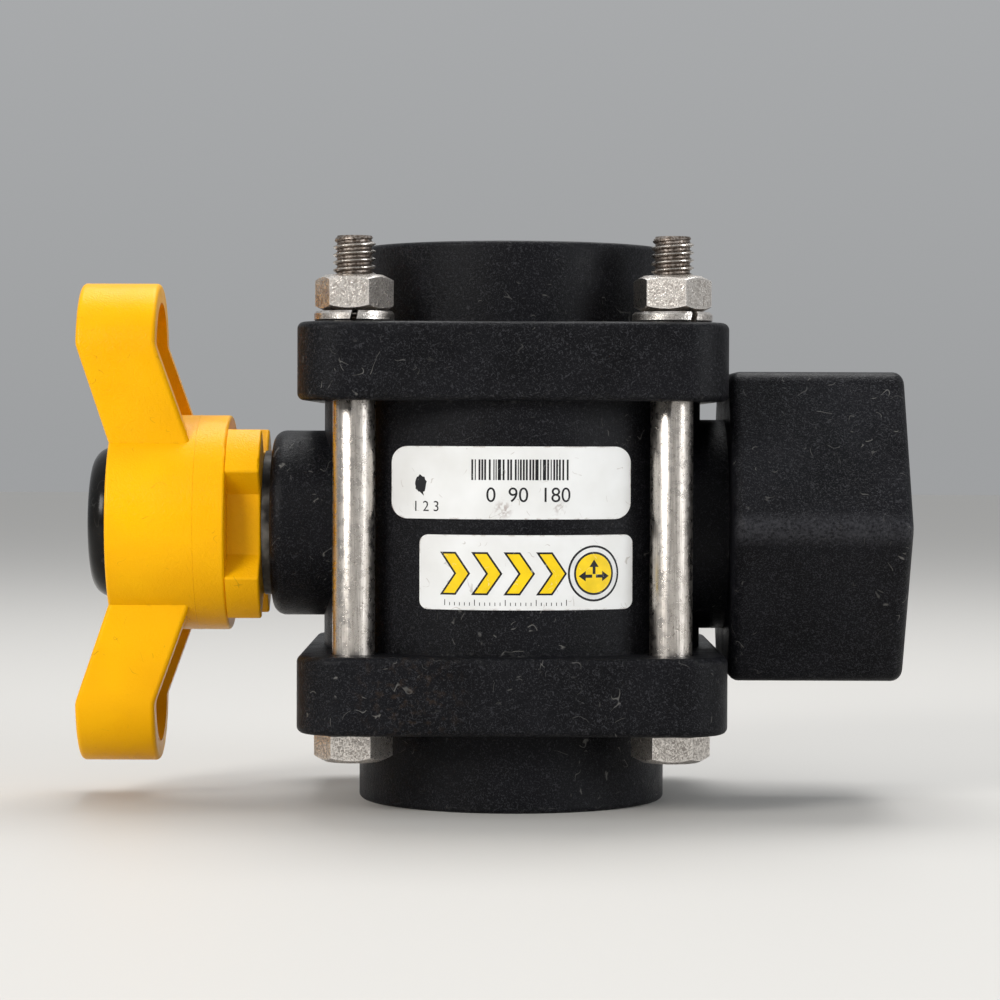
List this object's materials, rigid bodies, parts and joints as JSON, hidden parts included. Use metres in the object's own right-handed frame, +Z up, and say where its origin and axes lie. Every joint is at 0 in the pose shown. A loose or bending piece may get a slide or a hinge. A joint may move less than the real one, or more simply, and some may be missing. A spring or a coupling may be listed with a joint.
{
  "type": "three-way ball valve",
  "caption": "Bolted plastic three-way ball valve: a T-handle turns an L-ported ball that joins the hexagonal side port to the lower or the upper pipe port.",
  "frame": {"origin": "centre of the lower port's mouth, on the surface that the valve stands on", "axes": "+Z up the flow axis through both end caps, +X along the stem's axis from the handle to the side port"},
  "size_m": [0.1578, 0.08, 0.1074],
  "materials": {
    "black_plastic": "fine moulded texture",
    "ball_plastic": "smooth, machined",
    "white_ptfe": "waxy",
    "black_rubber": "matte",
    "yellow_plastic": "satin moulded grain",
    "gloss_black_plastic": "glossy",
    "stainless_steel": "drawn, lightly scratched",
    "label_film": "satin printed film"
  },
  "bodies": {
    "valve": {"valve_body": "black_plastic", "upper_end_cap": "black_plastic", "lower_end_cap": "black_plastic", "upper_seat": "white_ptfe", "lower_seat": "white_ptfe", "upper_seat_backing_ring": "black_rubber", "lower_seat_backing_ring": "black_rubber", "upper_cap_o_ring": "black_rubber", "lower_cap_o_ring": "black_rubber", "stem_thrust_washer": "white_ptfe", "handle_bearing_washer": "white_ptfe", "hex_bolts": "stainless_steel", "lock_washers": "stainless_steel", "hex_nuts": "stainless_steel", "upper_label": "label_film", "lower_label": "label_film"},
    "rotor": {"handle": "yellow_plastic", "handle_screw": "stainless_steel", "handle_screw_washer": "stainless_steel", "handle_cap": "gloss_black_plastic", "stem": "ball_plastic", "stem_o_ring_inner": "black_rubber", "stem_o_ring_outer": "black_rubber", "ball": "ball_plastic"}
  },
  "joints": [
    {"name": "handle_turn", "type": "hinge", "parent": "valve", "child": "rotor", "pos_m": [0, 0, 0.05334], "axis": [-1, 0, 0], "range_deg": [0, 180]}
  ]
}
